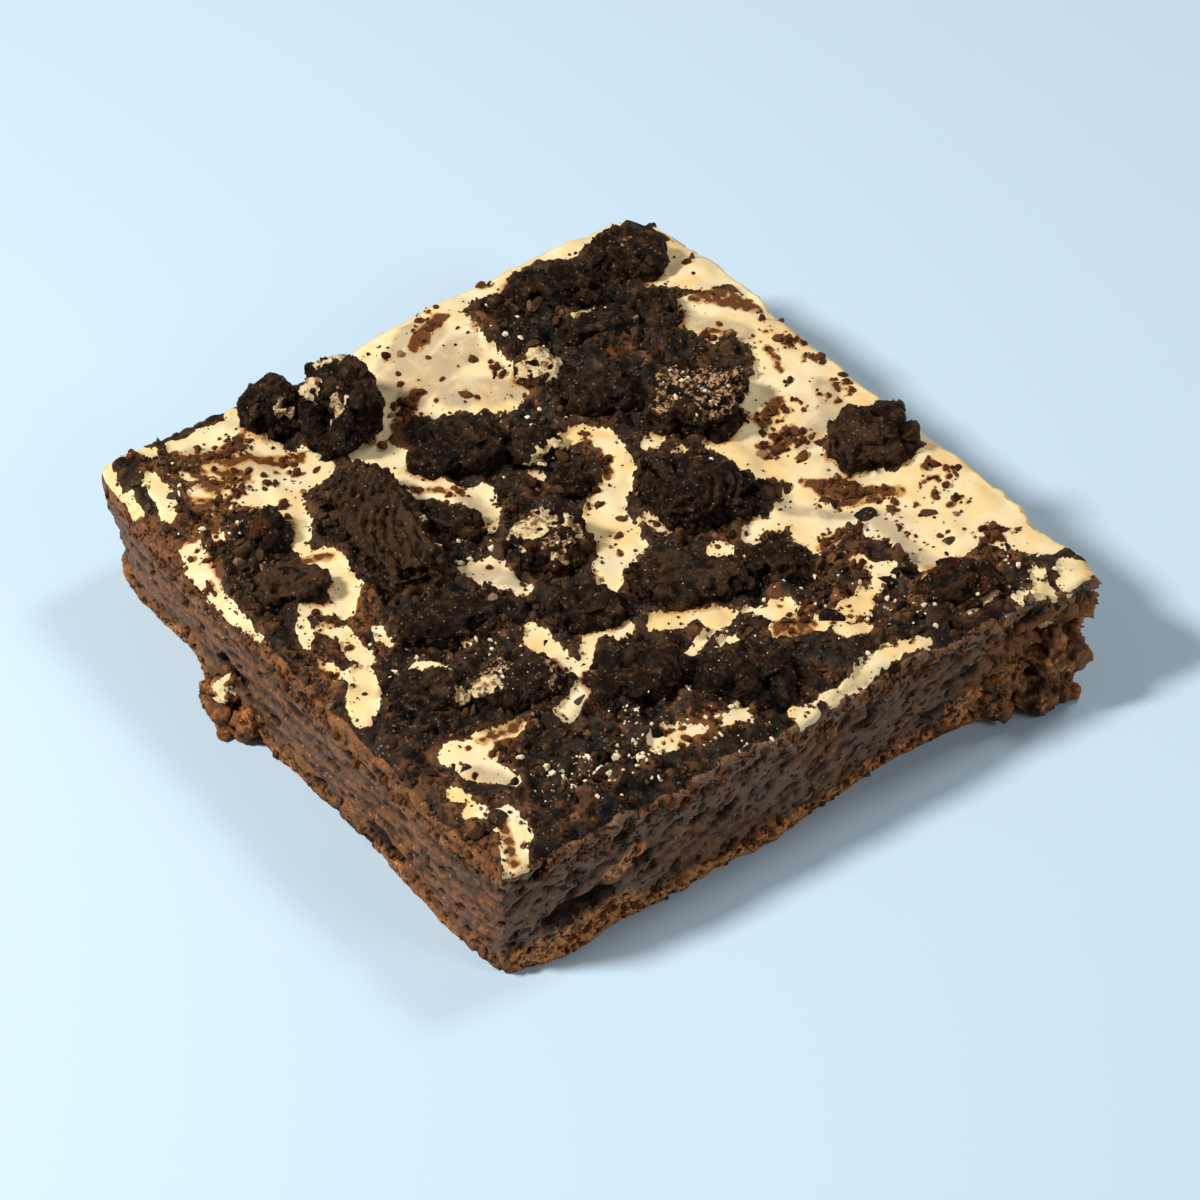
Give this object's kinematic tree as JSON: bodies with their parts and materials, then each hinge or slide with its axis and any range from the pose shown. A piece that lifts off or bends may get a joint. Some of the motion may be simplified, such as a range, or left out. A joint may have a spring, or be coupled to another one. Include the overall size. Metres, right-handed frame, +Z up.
{
  "type": "chocolate brownie",
  "caption": "Square chocolate brownie with a baked cream layer, broken chocolate biscuit and crumbs pressed into its top, and plain cut sides.",
  "frame": {"origin": "middle of the flat underside of the square", "axes": "+Z up, out of the top; +X and +Y along the cut sides, with the front corner at -X -Y"},
  "size_m": [0.0945, 0.0915, 0.0267],
  "materials": {
    "base": "moist dark brown crumb, smeared by the knife, with small pores",
    "cream": "smooth baked cream, soft sheen, stained brown round its crumbs",
    "biscuit": "near-black dry broken biscuit, granular"
  },
  "bodies": {
    "root": {"brownie_base": "base", "cream_topping": "cream", "biscuit_piece_01": "biscuit", "biscuit_piece_02": "biscuit", "biscuit_piece_03": "biscuit", "biscuit_piece_04": "biscuit", "biscuit_piece_05": "biscuit", "biscuit_piece_06": "biscuit", "biscuit_piece_07": "biscuit", "biscuit_piece_08": "biscuit", "biscuit_piece_09": "biscuit", "biscuit_piece_10": "biscuit", "biscuit_piece_11": "biscuit", "biscuit_piece_12": "biscuit", "biscuit_piece_13": "biscuit", "biscuit_piece_14": "biscuit", "biscuit_piece_15": "biscuit", "biscuit_piece_16": "biscuit", "biscuit_piece_17": "biscuit", "biscuit_piece_18": "biscuit", "biscuit_piece_19": "biscuit", "biscuit_piece_20": "biscuit", "biscuit_piece_21": "biscuit", "biscuit_piece_22": "biscuit", "biscuit_piece_23": "biscuit", "biscuit_piece_24": "biscuit", "biscuit_piece_25": "biscuit", "biscuit_piece_26": "biscuit", "biscuit_piece_27": "biscuit", "biscuit_piece_28": "biscuit", "biscuit_piece_29": "biscuit"}
  },
  "joints": []
}
